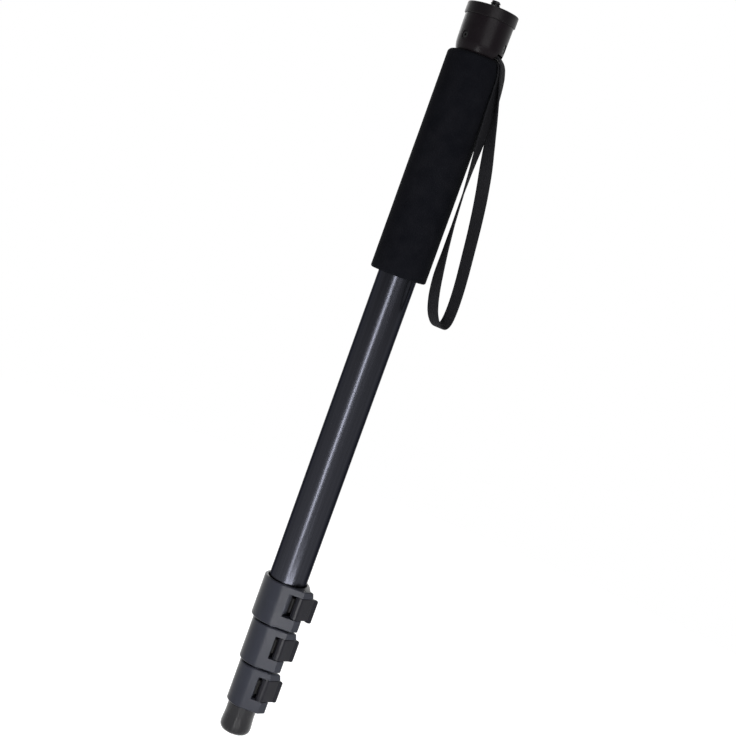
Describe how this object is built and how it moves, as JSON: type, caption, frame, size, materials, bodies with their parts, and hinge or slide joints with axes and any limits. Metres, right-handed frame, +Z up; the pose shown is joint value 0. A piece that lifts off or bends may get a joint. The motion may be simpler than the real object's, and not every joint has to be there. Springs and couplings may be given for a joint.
{
  "type": "camera monopod",
  "caption": "Folded four-section camera monopod with flip-lever leg locks, foam hand grip, wrist strap, rubber foot and a camera screw on its platform.",
  "frame": {"origin": "middle of the rubber foot's flat underside, on the axis of the tubes", "axes": "+Z up along the tubes towards the camera screw, -Y the front, +X the side that the strap hangs on"},
  "size_m": [0.0614, 0.039, 0.4933],
  "materials": {
    "anodised_tube": "satin anodised, dark gunmetal",
    "lock_plastic": "moulded nylon, satin",
    "lever_plastic": "moulded nylon, satin",
    "nylon": "black nylon",
    "steel": "bright steel",
    "foam": "closed-cell foam, matte",
    "head_plastic": "moulded nylon, semi-gloss",
    "platform_metal": "cast, black semi-gloss",
    "black_steel": "blackened steel",
    "pad_rubber": "ribbed rubber",
    "foot_rubber": "smooth rubber, slight gloss",
    "webbing": "woven nylon webbing"
  },
  "bodies": {
    "foot_section": {"rubber_foot": "foot_rubber", "foot_plug": "nylon", "leg_tube_4": "anodised_tube", "top_bush_4": "nylon"},
    "leg_section_3": {"leg_tube_3": "anodised_tube", "top_bush_3": "nylon", "lock_collar_3": "lock_plastic", "lever_pin_3": "steel", "guide_bush_3": "nylon"},
    "leg_section_2": {"leg_tube_2": "anodised_tube", "top_bush_2": "nylon", "lock_collar_2": "lock_plastic", "lever_pin_2": "steel", "guide_bush_2": "nylon"},
    "upper_section": {"upper_tube": "anodised_tube", "lock_collar_1": "lock_plastic", "lever_pin_1": "steel", "guide_bush_1": "nylon", "foam_grip": "foam", "head_body": "head_plastic", "head_screws": "black_steel", "strap_pin": "steel", "camera_platform": "platform_metal", "platform_pad": "pad_rubber", "camera_screw": "black_steel", "wrist_strap": "webbing"},
    "lever_1": {"lock_lever_1": "lever_plastic"},
    "shoe_1": {"lock_shoe_1": "nylon"},
    "lever_2": {"lock_lever_2": "lever_plastic"},
    "shoe_2": {"lock_shoe_2": "nylon"},
    "lever_3": {"lock_lever_3": "lever_plastic"},
    "shoe_3": {"lock_shoe_3": "nylon"}
  },
  "joints": [
    {"name": "lowest_leg_slide", "type": "slide", "parent": "foot_section", "child": "leg_section_3", "axis": [0, 0, 1], "range_m": [0, 0.355]},
    {"name": "middle_leg_slide", "type": "slide", "parent": "leg_section_3", "child": "leg_section_2", "axis": [0, 0, 1], "range_m": [0, 0.355]},
    {"name": "upper_leg_slide", "type": "slide", "parent": "leg_section_2", "child": "upper_section", "axis": [0, 0, 1], "range_m": [0, 0.355]},
    {"name": "lever_1_hinge", "type": "hinge", "parent": "upper_section", "child": "lever_1", "pos_m": [0.01234, -0.01234, 0.09495], "axis": [0, 0, -1], "range_deg": [0, 100]},
    {"name": "shoe_1_slide", "type": "slide", "parent": "upper_section", "child": "shoe_1", "axis": [0.7071, -0.7071, 0], "range_m": [0, 0.00035]},
    {"name": "lever_2_hinge", "type": "hinge", "parent": "leg_section_2", "child": "lever_2", "pos_m": [0.01057, -0.01057, 0.06535], "axis": [0, 0, -1], "range_deg": [0, 100]},
    {"name": "shoe_2_slide", "type": "slide", "parent": "leg_section_2", "child": "shoe_2", "axis": [0.7071, -0.7071, 0], "range_m": [0, 0.00035]},
    {"name": "lever_3_hinge", "type": "hinge", "parent": "leg_section_3", "child": "lever_3", "pos_m": [0.00951, -0.00951, 0.03575], "axis": [0, 0, -1], "range_deg": [0, 100]},
    {"name": "shoe_3_slide", "type": "slide", "parent": "leg_section_3", "child": "shoe_3", "axis": [0.7071, -0.7071, 0], "range_m": [0, 0.00035]}
  ],
  "couplings": [
    {"joint": "lever_1_hinge", "follows": "shoe_1_slide", "rad_per_m": 4986.6},
    {"joint": "lever_2_hinge", "follows": "shoe_2_slide", "rad_per_m": 4986.6},
    {"joint": "lever_3_hinge", "follows": "shoe_3_slide", "rad_per_m": 4986.6}
  ]
}
